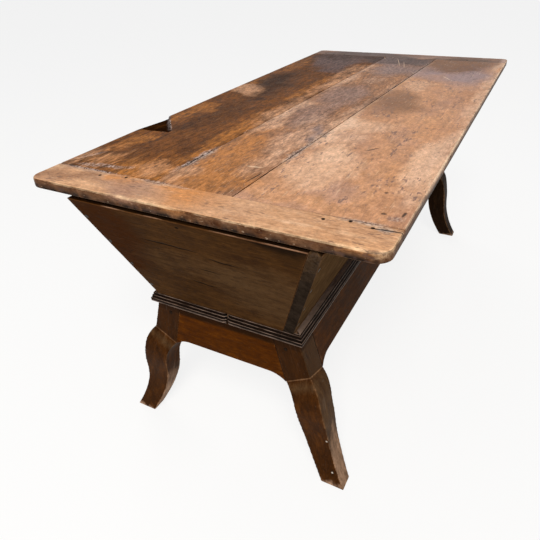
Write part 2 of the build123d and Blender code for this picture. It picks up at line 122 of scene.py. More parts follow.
def placeCamera(settings):
    data = bpy.data.cameras.new("photoCamera")
    data.sensor_width = settings["sensor"]
    data.lens = settings["lens"]
    data.clip_end = 60
    camera = addObject("photoCamera", data)
    yaw, pitch = settings["yaw"], settings["pitch"]
    forward = Vector((sin(yaw) * cos(pitch), cos(yaw) * cos(pitch), -sin(pitch)))
    level = forward.to_track_quat("-Z", "Y")
    camera.rotation_mode = "QUATERNION"
    camera.rotation_quaternion = level @ Quaternion((0, 0, 1), -settings["roll"])
    camera.location = settings["place"]
    bpy.context.scene.camera = camera


def lightStudio(settings):
    world = bpy.data.worlds.new("softSky")
    bpy.context.scene.world = world
    world.use_nodes = True
    tree = world.node_tree
    tree.nodes.clear()
    rays = addNode(tree, "LightPath").node.outputs
    seen = rays["Is Camera Ray"]
    for ray in ("Is Glossy Ray", "Is Transmission Ray"):
        seen = addNode(tree, "Math", {0: seen, 1: rays[ray]}, operation="MAXIMUM")
    sky = addNode(tree, "Background", {"Color": settings["sky"], "Strength": settings["skyStrength"]})
    white = addNode(tree, "Background", {"Color": "#FFFFFF", "Strength": 1.0})
    both = addNode(tree, "MixShader", {0: seen, 1: sky, 2: white})
    addNode(tree, "OutputWorld", {"Surface": both})

    # the window over the viewer's right shoulder, and weak wide light from behind the table
    window = bpy.data.lights.new("window", "AREA")
    window.shape = "SQUARE"
    window.size = settings["windowSize"]
    window.energy = settings["windowPower"]
    fill = bpy.data.lights.new("fill", "SUN")
    fill.angle = radians(settings["fillAngle"])
    fill.energy = settings["fillStrength"]
    place = Vector(settings["windowPlace"])
    aims = ((window, Vector(settings["windowAim"]) - place), (fill, -Vector(settings["fillFrom"])))
    for light, aim in aims:
        light.color = linearColour(settings["windowColour"])[:3]
        lamp = addObject(light.name, light)
        lamp.location = place
        lamp.rotation_mode = "QUATERNION"
        lamp.rotation_quaternion = aim.to_track_quat("-Z", "Y")
        lamp.visible_glossy = light is window


def layFloor(settings):
    # painted board floor, matt and nearly white; it glows a little for the camera alone
    bm = bmesh.new()
    bmesh.ops.create_grid(bm, x_segments=1, y_segments=1, size=settings["floorSize"] / 2)
    mesh = bpy.data.meshes.new("floor")
    bm.to_mesh(mesh)
    bm.free()
    floor = addObject("floor", mesh)
    material = newMaterial("mattPaintedFloor")
    tree = material.node_tree
    paint = addNode(tree, "BsdfDiffuse", {"Color": settings["floorColour"]})
    glow = addNode(tree, "Emission", {"Color": "#FFFFFF", "Strength": 1.0})
    toCamera = addNode(tree, "LightPath", out="Is Camera Ray")
    share = addNode(tree, "Math", {0: toCamera, 1: settings["floorGlow"]}, operation="MULTIPLY")
    both = addNode(tree, "MixShader", {0: share, 1: paint, 2: glow})
    addNode(tree, "OutputMaterial", {"Surface": both})
    mesh.materials.append(material)


placeCamera(cameraSettings)
lightStudio(lightSettings)
layFloor(lightSettings)
bpy.context.scene.view_settings.view_transform = "Standard"
print("camera, light and floor done")


# ---- wood

def grainTurn(along, face):
    # turns object coordinates so that X runs along the grain and Z out of the board's face
    along, face = Vector(along).normalized(), Vector(face).normalized()
    across = face.cross(along)
    return Matrix((along, across, face)).to_euler()


# old walnut, sawn and planed by hand, then waxed: warm brown with darker rings, dark pores and
# a low uneven shine
woodDefaults = {
    "along": (0, 1, 0),
    "face": (0, 0, 1),
    "shift": (0.0, 0.0, 0.12),
    "ringWidth": 8 * mm,
    "taper": 0.035,
    "wander": 30 * mm,
    "lineAmount": 0.45,
    "speckSize": 7 * mm,
    "speckAmount": 0.55,
    "speck": "#4A3834",
    "crumb": "#B4A296",
    "patchiness": 1.0,
    "haze": 0.25,
    "chipAmount": 0.25,
    "ringShare": 0.12,
    "streakShare": 0.26,
    "fibreShare": 0.2,
    "relief": 0.26,
    "grit": 0.42,
    "gritLength": 22 * mm,
    "gritWidth": 9 * mm,
    "dark": "#7A5236",
    "middle": "#A9764C",
    "light": "#C79A70",
    "blotch": "#6B4A36",
    "blotchAmount": 0.5,
    "stain": "#2E1A0C",
    "bloom": "#857270",
    "rubbed": "#D0A67E",
    "warm": "#A8662C",
    "worn": "#D9B48E",
    "wornAmount": 0.6,
    "side": "#4A2E1A",
    # the dark of cracks, and of dirt and painted shade in grooves and creases
    "grimeAndShade": "#1C120C",
    "bare": "#8C6A4A",
    "bareLow": "#4E3826",
    "endGrain": "#33261F",
    "endGrainLow": "#120C08",
    "scratch": "#E8CBAA",
    "scratchAmount": 0.3,
    "scores": (),
    "roughness": 0.46,
    "gloss": 0.2,
    "bump": 0.6,
}


def scoreMask(add, place, scores, shade):
    # the dark cracks or the pale scratches, each a long thin ellipsoid: its middle, half sizes and turn
    mask = 0.0
    for middle, halfSize, turn in (score[:3] for score in scores if score[3] == shade):
        lie = add("Mapping", {"Vector": place, "Location": [c * mm for c in middle],
                              "Rotation": (0, 0, radians(turn)), "Scale": [h * mm for h in halfSize]},
                  vector_type="TEXTURE")
        away = add("VectorMath", {0: lie}, "Value", operation="LENGTH")
        line = add("MapRange", {"Value": away, "From Min": 1.0, "From Max": 0.55})
        mask = add("Math", {0: mask, 1: line}, operation="MAXIMUM")
    return mask


def layCoats(add, colour, coats):
    # lays each coat over the ones below it: where it is, how strong it is and its colour
    for where, strength, tint in coats:
        share = add("Math", {0: where, 1: strength}, operation="MULTIPLY")
        colour = add("Mix", {0: share, 6: colour, 7: tint}, 2, data_type="RGBA")
    return colour


def agedWood(name, **changes):
    look = {**woodDefaults, **changes}
    material = newMaterial(name)
    add = partial(addNode, material.node_tree)
    coords = add("TexCoord", out="Object")
    place = add("Mapping", {"Vector": coords, "Rotation": grainTurn(look["along"], look["face"]),
                            "Location": look["shift"]})

    # the grain wanders slowly along the board
    drift = add("TexNoise", {"Vector": place, "Scale": 2.6, "Detail": 2.0}, "Color")
    wandered = add("VectorMath", {0: drift, 1: (0, look["wander"], look["wander"]), 2: place},
                   operation="MULTIPLY_ADD")

    # growth rings round a pith outside the board, tapering so that they arch on a flat face
    inRound = add("VectorMath", {0: wandered, 1: (0, 1, 1)}, operation="MULTIPLY")
    radius = add("VectorMath", {0: inRound}, "Value", operation="LENGTH")
    distance = add("SeparateXYZ", {0: wandered}, "X")
    tapered = add("Math", {0: distance, 1: look["taper"], 2: radius}, operation="MULTIPLY_ADD")
    turns = add("Math", {0: tapered, 1: look["ringWidth"]}, operation="DIVIDE")
    rings = add("TexNoise", {"W": turns, "Scale": 1.0, "Detail": 2.0}, noise_dimensions="1D")

    # the noises: what they lie on, their size along and across it, detail, roughness and the range
    # that is brought to 0 to 1
    speck = look["speckSize"]
    found = {}
    for layer, base, length, width, detail, roughness, low, high in (
            ("streaks", wandered, 90 * mm, 12 * mm, 5, 0.68, 0, 1),
            ("fibres", wandered, 20 * mm, 2 * mm, 3, 0.6, 0, 1),
            ("lines", wandered, 110 * mm, 4.5 * mm, 2, 0.6, 0.56, 0.68),
            ("chips", wandered, 9 * mm, 4 * mm, 1, 0.5, 0.7, 0.75),
            ("specks", place, 3.2 * speck, speck, 2, 0.6, 0.58, 0.64),
            ("flocks", place, 150 * mm, 60 * mm, 3, 0.6, 0.44, 0.58),
            ("crumbs", place, 9 * mm, 5 * mm, 3, 0.65, 0.44, 0.54),
            ("haze", place, 190 * mm, 80 * mm, 6, 0.7, 0.48, 0.68),
            ("blotches", place, 324 * mm, 180 * mm, 6, 0.66, 0.42, 0.72),
            ("mottle", place, 40 * mm, 25 * mm, 7, 0.72, 0, 1),
            ("grit", place, look["gritLength"], look["gritWidth"], 6, 0.82, 0, 1)):
        lie = add("VectorMath", {0: base, 1: (1 / length, 1 / width, 1 / width)}, operation="MULTIPLY")
        whole = add("TexNoise", {"Vector": lie, "Scale": 1.0, "Detail": detail, "Roughness": roughness})
        found[layer] = add("MapRange", {"Value": whole, "From Min": low, "From Max": high})
    streaks, mottle, blotches = found["streaks"], found["mottle"], found["blotches"]
    specks = add("Math", {0: found["specks"], 1: found["flocks"]}, operation="MULTIPLY")

    rest = 1 - look["ringShare"] - look["streakShare"] - look["fibreShare"]
    figure = 0.0
    for layer, share in ((rings, look["ringShare"]), (streaks, look["streakShare"]),
                         (found["fibres"], look["fibreShare"]), (mottle, rest)):
        figure = add("Math", {0: layer, 1: share, 2: figure}, operation="MULTIPLY_ADD")
    colour = add("ValToRGB", {0: figure})
    setRamp(colour, [(0.39, look["dark"]), (0.50, look["middle"]), (0.61, look["light"])])

    # dark lines, a painted haze of sheen that stands in for reflections on the wax, old wax, and the edges of
    # a board, darkened by hands and knocks
    side = add("Attribute", out="Fac", attribute_name="side")
    knocks = add("MapRange", {"Value": mottle, "From Min": 0.35, "From Max": 0.62, "To Min": 1.0,
                              "To Max": 0.8})
    coats = [(found["lines"], look["lineAmount"], look["blotch"]),
             (found["haze"], look["haze"], look["bloom"]),
             (blotches, look["blotchAmount"], look["blotch"]), (knocks, side, look["side"])]

    # marks that the mesh carries: orange wood, painted sheen that stands in for reflections, stains and
    # painted shadows, rubbed places and painted highlights, arrises with their wear and painted highlights,
    # and grooves with their dirt and painted shade
    mottled = add("Math", {0: mottle, 1: 1.3, 2: -1.2}, operation="MULTIPLY_ADD")
    broken = add("Math", {0: streaks, 1: 1.1, 2: mottled}, operation="MULTIPLY_ADD")
    broken = add("Math", {0: broken, 1: look["patchiness"]}, operation="MULTIPLY")
    crumbled = add("Mix", {0: found["crumbs"], 6: look["speck"], 7: look["crumb"]}, 2, data_type="RGBA")
    for mark, tint, most in (("warm", look["warm"], 0.9), ("bloom", look["bloom"], 0.9),
                             ("stain", look["stain"], 0.9), ("seam", crumbled, 1.0),
                             ("rubbed", look["rubbed"], 0.9), ("groove", look["grimeAndShade"], 1.0),
                             ("rim", look["worn"], look["wornAmount"])):
        carried = add("Attribute", out="Fac", attribute_name=mark)
        patchy = add("Math", {0: carried, 1: broken}, operation="ADD")
        patchy = add("MapRange", {"Value": patchy, "From Min": 0.12, "From Max": 0.95, "To Max": most})
        soft = add("Math", {0: carried, 1: 6.0}, operation="MULTIPLY", use_clamp=True)
        coats.append((patchy, soft, tint))
    colour = layCoats(add, colour, coats)

    # the figure shows through every mark, with the grit of a surface scrubbed and knocked for generations
    for layer, low, high, depth in ((found["grit"], 0.3, 0.7, look["grit"]),
                                    (figure, 0.38, 0.62, look["relief"])):
        shade = add("MapRange", {"Value": layer, "From Min": low, "From Max": high,
                                 "To Min": 1 - depth, "To Max": 1 + depth})
        colour = add("VectorMath", {0: colour, "Scale": shade}, operation="SCALE")

    # fine scratches in two slanting directions, and single cracks with a wavering run
    scratches = 0.0
    for turn, reach in ((0.35, 15.0), (-1.1, 20.0)):
        lie = add("Mapping", {"Vector": wandered, "Rotation": (0, 0, turn), "Scale": (reach, 260.0, 30.0)})
        whole = add("TexNoise", {"Vector": lie, "Scale": 1.0, "Detail": 1.0})
        line = add("MapRange", {"Value": whole, "From Min": 0.71, "From Max": 0.77})
        scratches = add("Math", {0: scratches, 1: line}, operation="MAXIMUM")
    waver = add("TexNoise", {"Vector": coords, "Scale": 28.0, "Detail": 3.0}, "Color")
    wavy = add("VectorMath", {0: waver, 1: [10 * mm] * 3, 2: coords}, operation="MULTIPLY_ADD")
    wavy = add("VectorMath", {0: wavy, 1: [5 * mm] * 3}, operation="SUBTRACT")
    cracks = scoreMask(add, wavy, look["scores"], "dark")
    pale = scoreMask(add, coords, look["scores"], "pale")

    # faces that were never waxed, and the sawn ends of the fibres
    bare = add("ValToRGB", {0: figure})
    setRamp(bare, [(0.36, look["bareLow"]), (0.60, look["bare"])])
    ends = add("ValToRGB", {0: figure})
    setRamp(ends, [(0.36, look["endGrainLow"]), (0.60, look["endGrain"])])
    unwaxed = add("Attribute", out="Fac", attribute_name="bare")
    sawn = add("Attribute", out="Fac", attribute_name="endGrain")
    colour = layCoats(add, colour, [
        (specks, look["speckAmount"], look["speck"]), (found["chips"], look["chipAmount"], look["scratch"]),
        (scratches, look["scratchAmount"], look["scratch"]), (cracks, 0.85, look["grimeAndShade"]),
        (pale, 0.7, look["scratch"]), (unwaxed, 1.0, bare), (sawn, 1.0, ends)])

    # old wax is duller where it has darkened, and bare wood is quite dull
    dull = add("MapRange", {"Value": mottle, "From Min": 0.3, "From Max": 0.7,
                            "To Min": look["roughness"] - 0.06, "To Max": look["roughness"] + 0.10})
    dull = add("Math", {0: blotches, 1: 0.12 * look["blotchAmount"], 2: dull}, operation="MULTIPLY_ADD")
    dull = add("Math", {0: unwaxed, 1: 0.35, 2: dull}, operation="MULTIPLY_ADD", use_clamp=True)

    # height in millimetres: fibres stand up, lines, dents, scratches and cracks sink
    height = 0.0
    for layer, rise in ((found["fibres"], 0.15), (streaks, 0.3), (found["lines"], -0.25), (specks, -0.3),
                        (scratches, -0.25), (mottle, 0.35), (cracks, -1.5)):
        height = add("Math", {0: layer, 1: rise, 2: height}, operation="MULTIPLY_ADD")
    bump = add("Bump", {"Height": height, "Distance": 1 * mm, "Strength": look["bump"]})
    shader = add("BsdfPrincipled", {"Base Color": colour, "Roughness": dull, "Normal": bump, "IOR": 1.5,
                                    "Specular IOR Level": look["gloss"]})
    add("OutputMaterial", {"Surface": shader})
    return material


# ---- worked meshes

def mergedCopy(nodeName):
    # the CAD node's mesh with its loose triangles joined and its flat faces made whole
    bm = bmesh.new()
    bm.from_mesh(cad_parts[nodeName].data)
    bmesh.ops.remove_doubles(bm, verts=bm.verts, dist=0.01 * mm)
    bmesh.ops.dissolve_limit(bm, angle_limit=radians(0.6), verts=bm.verts, edges=bm.edges)
    return bm


def cutPlane(bm, point, normal):
    bmesh.ops.bisect_plane(bm, geom=bm.verts[:] + bm.edges[:] + bm.faces[:], plane_co=point,
                           plane_no=normal, dist=0.02 * mm)


def cutAcross(bm, direction, start, stop, spacing):
    # cuts that leave a grid on the faces, for the wear to move
    direction = Vector(direction).normalized()
    count = max(1, round((stop - start) / spacing))
    for i in range(1, count):
        cutPlane(bm, direction * (start + (stop - start) * i / count), direction)


def roundEdges(bm, edges, width, segments):
    bmesh.ops.bevel(bm, geom=edges, offset=width, offset_type="OFFSET", affect="EDGES", segments=segments,
                    profile=0.5, material=-1, clamp_overlap=True)


def easeArrises(bm, width, longer):
    sharp = [e for e in bm.edges if e.is_manifold and e.calc_face_angle(0) > radians(35)
             and e.calc_length() > longer]
    roundEdges(bm, sharp, width, 3)


def directions(side):
    # the way out of a side of the table, and the way along it
    out = {"left": Vector((-1, 0, 0)), "right": Vector((1, 0, 0)), "near": Vector((0, -1, 0)),
           "far": Vector((0, 1, 0))}[side]
    return out, Vector((abs(out.y), abs(out.x), 0))


def walnutFor(node, **settings):
    return agedWood("waxedWalnut" + node.title().replace("_", ""), **settings)


def markArrises(bm, widest=60):
    # how strongly the surface turns at each vertex, outwards and inwards; a vertex beside a face of
    # more than the widest area in square millimetres takes little of it
    rim = bm.verts.layers.float.new("rim")
    groove = bm.verts.layers.float.new("groove")
    for v in bm.verts:
        angles = [e.calc_face_angle_signed(0) for e in v.link_edges if e.is_manifold]
        share = 0.15 if any(f.calc_area() > widest * mm * mm for f in v.link_faces) else 1.0
        v[rim] = share * min(1, max([0] + angles) / radians(22))
        v[groove] = min(1, max([0] + [-a for a in angles]) / radians(40))


def markFaces(bm, along, bareSide=None, sideways=False):
    bare, endGrain, side = [bm.faces.layers.float.new(kind) for kind in ("bare", "endGrain", "side")]
    along = Vector(along).normalized()
    for f in bm.faces:
        f[side] = 1.0 if sideways and abs(f.normal.z) < 0.8 else 0.0
        f[endGrain] = 1.0 if abs(f.normal.dot(along)) > 0.8 and not sideways else 0.0
        f[bare] = 1.0 if bareSide and f.normal.dot(Vector(bareSide).normalized()) > 0.6 else 0.0


def wearDown(bm, seed, hollows=0.35 * mm, wave=90 * mm, nicks=0.8 * mm, nickWave=22 * mm):
    # the surface sinks a little everywhere, and more at nicks along the arrises; it never grows
    rim = bm.verts.layers.float["rim"]
    seam = bm.verts.layers.float.get("seam")
    offset = Vector((seed * 3.7, seed * 1.9, seed * 5.3))
    bm.normal_update()
    moves = []
    for v in bm.verts:
        slow = 0.5 + 0.5 * noise.noise(v.co / wave + offset)
        deep = max(0.0, noise.noise(v.co / nickWave + offset) - 0.12)
        deep += 0.5 * max(0.0, noise.noise(v.co / (nickWave * 0.4) + offset) - 0.2)
        broken = v[seam] * max(0.0, 0.6 + noise.noise(v.co / (7 * mm) + offset)) if seam else 0.0
        moves.append((v, v.normal * (hollows * slow + nicks * v[rim] * deep * 1.6 + 0.8 * mm * broken)))
    for v, move in moves:
        v.co -= move


def finishPiece(bm, node, body, slotName, *materials, smoothBelow=40):
    bm.normal_update()
    mesh = bpy.data.meshes.new("old_" + node)
    bm.to_mesh(mesh)
    bm.free()
    for material in materials:
        mesh.materials.append(material)
    for polygon in mesh.polygons:
        polygon.use_smooth = True
    mesh.set_sharp_from_angle(angle=radians(smoothBelow))
    piece = addObject("old_" + node, mesh)
    flat = piece.modifiers.new("flatFaces", "WEIGHTED_NORMAL")
    flat.keep_sharp = True
    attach(piece, body)
    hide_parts(node)


# ---- lid

lid = {
    "thickness": 22 * mm,
    "board": 90 * mm,
    "leftJoint": (-122 * mm, -70 * mm),
    "rightJoint": (67 * mm, 136 * mm),
    "leftGap": 1 * mm,
    "rightGap": 2.2 * mm,
    "arrisTop": 4.5 * mm,
    "arrisBottom": 2.5 * mm,
    "jointArris": 0.8 * mm,
    "row": 9 * mm,
    "column": 22 * mm,
    "markDepth": 8 * mm,
    "darkEdge": 9 * mm,
    "nearCorner": 30 * mm,
    "farCorner": 20 * mm,
    "besideJoint": (1.5 * mm, 4 * mm, 8 * mm, 12 * mm, 17 * mm),
    "hollowDepth": 6.5 * mm,
    "hollowRun": 110 * mm,
    "hollowKeeps": 6 * mm,
    "hollowNear": ((-401 * mm, -468 * mm), (-312 * mm, -460 * mm)),
    "hollowWall": ((-312 * mm, -440 * mm), (-401 * mm, -328 * mm)),
    "hollowGrid": 3 * mm,
}
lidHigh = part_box("lid_breadboard_far")[1]
lidTop, lidUnder = lidHigh.z, lidHigh.z - lid["thickness"]
halfWide, halfLong = lidHigh.x, lidHigh.y
plankHalf = halfLong - lid["board"]

# the marks on the lid by kind, each as x, y, its reach in x and in y in millimetres, its turn and its
# strength; x grows to the right and y towards the far end, from the middle of the lid
lidMarks = {
    "stain": [
        (235, 670, 230, 230, 0, 0.9), (240, 650, 110, 140, 0, 0.6), (165, 40, 95, 210, 5, 0.8),
        (250, -20, 60, 90, 0, 0.3), (215, 340, 14, 22, 0, 0.7), (90, -660, 50, 70, 0, 0.3),
        (-20, 690, 150, 150, 0, 0.85), (-178, -560, 22, 34, 0, 0.6), (-260, -610, 60, 90, 0, 0.3),
        (-265, -250, 85, 330, 0, 0.5), (-300, -400, 50, 70, 0, 0.4), (-225, -500, 16, 30, 0, 0.7),
        (-200, -170, 22, 34, 0, 0.6), (-240, -75, 20, 30, 0, 0.7), (-300, 200, 110, 300, 0, 0.55),
        (-325, 180, 70, 150, 0, 0.5), (-250, 60, 60, 160, 0, 0.4), (-250, 700, 170, 110, 0, 0.65),
        (-340, 175, 18, 25, 0, 0.9), (-340, -790, 170, 60, 0, 0.7), (392, -748, 34, 9, 0, 0.7),
        (-392, -742, 24, 12, 0, 0.5),
    ],
    # painted sheen: grey-violet patches that stand in for a bright window reflected in the wax
    "bloom": [
        (280, 510, 140, 200, 0, 0.65), (335, 620, 80, 220, 0, 0.4), (320, 320, 90, 160, 0, 0.3),
        (300, 430, 120, 140, 0, 0.3), (110, 600, 50, 160, 0, 0.3), (62, -320, 20, 90, 8, 0.9),
        (160, 480, 70, 140, 0, 0.75), (240, -650, 70, 60, 0, 0.4), (20, -290, 80, 160, 0, 0.3),
        (-30, -150, 80, 170, 0, 0.5), (0, 80, 100, 180, 0, 0.65), (20, 290, 50, 90, 15, 0.3),
        (30, 490, 110, 150, 0, 0.9), (-10, 690, 140, 150, 0, 1), (-180, 420, 50, 110, 0, 0.7),
        (-230, 560, 120, 190, 0, 0.95), (-230, 680, 170, 150, 0, 1), (-170, -790, 120, 60, 0, 0.8),
        (160, -770, 200, 60, 0, 0.35), (-170, 790, 260, 70, 0, 0.9),
    ],
    # rubbed places; the long pale strips along the right edge are also a painted highlight
    "rubbed": [
        (388, 700, 20, 140, 0, 0.6), (175, 280, 60, 110, 10, 0.4), (170, -540, 110, 160, 0, 0.5),
        (150, -370, 90, 150, 0, 0.4), (160, -210, 110, 80, 0, 0.45), (375, -420, 50, 300, 0, 0.6),
        (390, 200, 30, 560, 0, 0.45), (95, -200, 40, 260, 0, 0.55), (100, 130, 30, 250, 0, 0.3),
        (-90, -690, 45, 55, 0, 0.5), (40, -570, 50, 110, 0, 0.4), (25, -420, 60, 120, 0, 0.5),
        (20, -250, 60, 150, 0, 0.35), (-95, -280, 45, 130, 0, 0.6), (-95, -110, 45, 160, 0, 0.75),
        (20, 300, 60, 80, 15, 0.4), (-85, 250, 45, 190, 0, 0.75), (-85, 480, 45, 130, 0, 0.6),
        (-175, -680, 70, 62, 0, 0.6), (-135, -180, 22, 200, 0, 0.4), (-120, 100, 26, 170, 0, 0.5),
        (-130, 400, 24, 200, 0, 0.6), (-340, -660, 90, 110, 0, 0.35), (-390, -700, 30, 120, 0, 0.5),
        (-365, 50, 45, 90, 25, 0.8), (-320, 60, 34, 60, 30, 0.6), (-325, 10, 38, 120, 35, 0.65),
        (250, -780, 220, 55, 0, 0.15), (90, 790, 130, 60, 0, 0.35), (395, 790, 24, 60, 0, 0.8),
    ],
    "warm": [
        (330, -480, 60, 120, 0, 0.3), (300, -200, 60, 150, 0, 0.25), (-20, -730, 130, 150, 0, 0.9),
        (-30, -640, 110, 130, 0, 0.5), (-50, -540, 90, 190, 0, 0.85), (-80, -400, 45, 140, 10, 0.6),
        (-185, -710, 85, 100, 0, 0.95), (-300, -690, 130, 90, 0, 0.5), (-140, -400, 30, 360, 0, 0.75),
        (-140, 150, 32, 320, 0, 0.6), (-350, -550, 60, 80, 0, 0.5), (-350, -510, 50, 60, 0, 0.3),
        (-355, -250, 50, 160, 0, 0.5), (-360, 170, 36, 90, 0, 0.5), (-365, 150, 34, 90, 0, 0.5),
        (-370, 500, 40, 200, 0, 0.4), (330, -812, 110, 30, 0, 0.3), (250, 790, 190, 60, 0, 0.35),
    ],
    "seam": [
        (-290, -712, 110, 16, 12, 0.6), (-372, -670, 12, 70, -25, 0.5), (-300, -742, 130, 5, 0, 0.8),
        (-130, -742, 50, 4, 0, 0.6), (330, -742, 70, 4, 0, 0.7), (372, -712, 16, 20, 30, 0.7),
        (40, -500, 16, 70, 0, 0.35), (95, -420, 10, 90, 0, 0.3), (372, -757, 22, 6, 0, 1),
        (-60, -742, 60, 4, 0, 0.6),
    ],
}
# single scratches and cracks in the lid's top: x, y, half length and half width in millimetres, turn and
# whether it is dark or pale
lidScores = [((x, y, 760), (long, wide, 20), turn, shade) for x, y, long, wide, turn, shade in (
    (30, -588, 24, 3.0, 6, "pale"),
    (232, -388, 26, 2.6, 50, "dark"),
    (245, 410, 38, 2.6, -55, "pale"),
    (10, 650, 95, 1.3, -72, "pale"),
    (45, 600, 70, 1.1, -75, "pale"),
    (-75, 740, 60, 1.4, -70, "pale"),
    (-374, -695, 40, 2.4, 66, "dark"),
    (-278, -699, 48, 2.4, 68, "dark"),
    (160, -120, 14, 2.0, 10, "pale"),
    (60, -640, 36, 2.0, 82, "dark"),
    (330, -610, 5, 4, 0, "dark"),
    (352, -700, 7, 4, 20, "dark"),
    (385, -690, 4, 14, 0, "dark"),
)]
# rough, dirty stretches of the joints: from and to along the table, and how strong
seams = {
    "leftJoint": ((-700, -480, 1.0), (-420, -330, 0.5), (-200, 60, 0.35), (380, 640, 0.4)),
    "rightJoint": ((-560, -250, 1.0), (-180, 0, 0.5), (120, 700, 0.6)),
}


def markLid(bm):
    layers = {kind: bm.verts.layers.float.new(kind) for kind in lidMarks}
    for v in bm.verts:
        if v.co.z < lidTop - lid["markDepth"]:
            continue
        uneven = noise.noise_vector(v.co / (85 * mm)) * 38 + noise.noise_vector(v.co / (30 * mm)) * 14
        for kind, x, y, rx, ry, turn, much in ((kind, *mark) for kind in lidMarks for mark in lidMarks[kind]):
            shift = uneven * min(1.0, min(rx, ry) / 60) * mm
            dx, dy = v.co.x + shift.x - x * mm, v.co.y + 1.6 * shift.y - y * mm
            across = (dx * cos(radians(turn)) + dy * sin(radians(turn))) / (rx * mm)
            down = (-dx * sin(radians(turn)) + dy * cos(radians(turn))) / (ry * mm)
            near = max(0.0, 1 - across * across - down * down)
            v[layers[kind]] = min(1.0, v[layers[kind]] + much * near * near * (3 - 2 * near))
        for joint, stretches in seams.items():
            (first, last), y = lid[joint], v.co.y / mm
            middle = first + (last - first) * (v.co.y + plankHalf) / (2 * plankHalf)
            ragged = 0.9 + 1.1 * noise.noise(v.co / (14 * mm)) + 0.6 * noise.noise(v.co / (50 * mm))
            for low, high, much in stretches:
                reach = (5 + 10 * much) * mm * max(0.05, ragged)
                close = max(0.0, 1 - (abs(v.co.x - middle) - 1.5 * mm) / reach)
                within = max(0.0, min(1.0, (y - low) / 60, (high - y) / 60))
                v[layers["seam"]] = max(v[layers["seam"]], 0.85 * min(1.0, close) * within * much)


def cutBeside(bm, edge, sign, distances):
    # cuts along a joint, a little way in from it
    run = Vector((edge[1] - edge[0], 2 * plankHalf, 0)).normalized()
    inward = Vector((run.y, -run.x, 0)) * sign
    for distance in distances:
        cutPlane(bm, Vector((edge[0], -plankHalf, 0)) + inward * distance, inward)


def sinkHollow(bm):
    # the worn hollow in the left edge: a ramp that sinks towards a steep, broken wall at its far end
    seam = bm.verts.layers.float["seam"]
    clean = [bm.verts.layers.float[kind] for kind in ("rubbed", "warm", "bloom", "stain", "rim")]
    sunk = set()
    (ax, ay), (bx, by) = lid["hollowNear"]
    (cx, cy), (dx, dy) = lid["hollowWall"]
    near = Vector((-(by - ay), bx - ax)).normalized()
    wall = Vector((-(dy - cy), dx - cx)).normalized()
    for v in bm.verts:
        here = Vector((v.co.x, v.co.y))
        ramp = (here - Vector((ax, ay))).dot(near)
        rough = noise.noise(v.co / (9 * mm)) + 0.6 * noise.noise(v.co / (4 * mm))
        inside = (here - Vector((cx, cy))).dot(wall) + 3.5 * mm * rough
        if ramp <= 0 or inside <= -4 * mm or v.co.z < lidUnder + lid["hollowKeeps"]:
            continue
        fall = min(1.0, ramp / lid["hollowRun"])
        depth = lid["hollowDepth"] * fall * max(0.0, min(1.0, inside / (5 * mm)))
        share = min(1.0, (v.co.z - lidUnder - lid["hollowKeeps"]) / (10 * mm))
        v.co.z -= depth * share
        sunk.add(v)
        v[seam] = 0.95 * min(1.0, 3 * fall) if inside < 7 * mm else 0.0
        for layer in clean:
            v[layer] = 0.0
    for f in bm.faces:
        if all(v in sunk for v in f.verts):
            f.material_index = 1


def calmJoints(bm):
    # arrises inside the lid are protected by the board beside them
    rim, groove = bm.verts.layers.float["rim"], bm.verts.layers.float["groove"]
    for v in bm.verts:
        onEdge = abs(v.co.x) > halfWide - 6 * mm or abs(v.co.y) > halfLong - 34 * mm
        uneven = 0.65 + 0.8 * noise.noise(v.co / (110 * mm)) + 0.5 * noise.noise(v.co / (18 * mm))
        v[rim] *= max(0.1, min(1.0, uneven)) if onEdge else 0.25
        # the lower part of the edge is dark and broken
        if onEdge and v.co.z < lidUnder + lid["darkEdge"]:
            v[rim] = 0.0
            v[groove] = max(0.0, min(0.95, 0.7 + 1.1 * noise.noise(v.co / (16 * mm))))


def lidBoard(size, y):
    bm = bmesh.new()
    bmesh.ops.create_cube(bm, size=1.0)
    bmesh.ops.scale(bm, vec=(*size, lid["thickness"]), verts=bm.verts)
    bmesh.ops.translate(bm, vec=(0, y, lidTop - lid["thickness"] / 2), verts=bm.verts)
    return bm


def buildPlank(node, leftEdge, rightEdge, seed, *materials):
    bm = lidBoard((1, 2 * plankHalf), 0)
    for v in bm.verts:
        v.co.x = (rightEdge if v.co.x > 0 else leftEdge)[1 if v.co.y > 0 else 0]
    rims = [e for e in bm.edges if all(abs(abs(v.co.x) - halfWide) < 0.1 * mm for v in e.verts)
            and abs(e.verts[0].co.y - e.verts[1].co.y) > plankHalf]
    upper = [e for e in rims if e.verts[0].co.z > lidTop - 1 * mm]
    lower = [e for e in rims if e not in upper]
    joints = [e for e in bm.edges if e not in rims and all(v.co.z > lidTop - 1 * mm for v in e.verts)]
    for edges, width, steps in ((upper, lid["arrisTop"], 5), (lower, lid["arrisBottom"], 3),
                                (joints, lid["jointArris"], 2)):
        live = [e for e in edges if e.is_valid]
        if live:
            roundEdges(bm, live, width, steps)
    low = min(leftEdge)
    cutAcross(bm, (0, 1, 0), -plankHalf, plankHalf, lid["row"])
    cutAcross(bm, (1, 0, 0), low, max(rightEdge), lid["column"])
    for edge, sign in ((leftEdge, 1), (rightEdge, -1)):
        if abs(edge[0]) < halfWide - 1 * mm:
            cutBeside(bm, edge, sign, lid["besideJoint"])
    if low < -halfWide + 1 * mm:
        cutAcross(bm, (0, 1, 0), lid["hollowNear"][0][1] - 8 * mm, lid["hollowWall"][1][1] + 12 * mm,
                  lid["hollowGrid"])
        cutAcross(bm, (1, 0, 0), -halfWide, lid["hollowWall"][0][0] + 12 * mm, lid["hollowGrid"])
    markArrises(bm, widest=90)
    markFaces(bm, (0, 1, 0), bareSide=(0, 0, -1), sideways=True)
    markLid(bm)
    calmJoints(bm)
    if low < -halfWide + 1 * mm:
        sinkHollow(bm)
    wearDown(bm, seed, hollows=0.6 * mm, wave=140 * mm, nicks=2.2 * mm, nickWave=26 * mm)
    finishPiece(bm, node, "lid", "lid_wood", *materials)


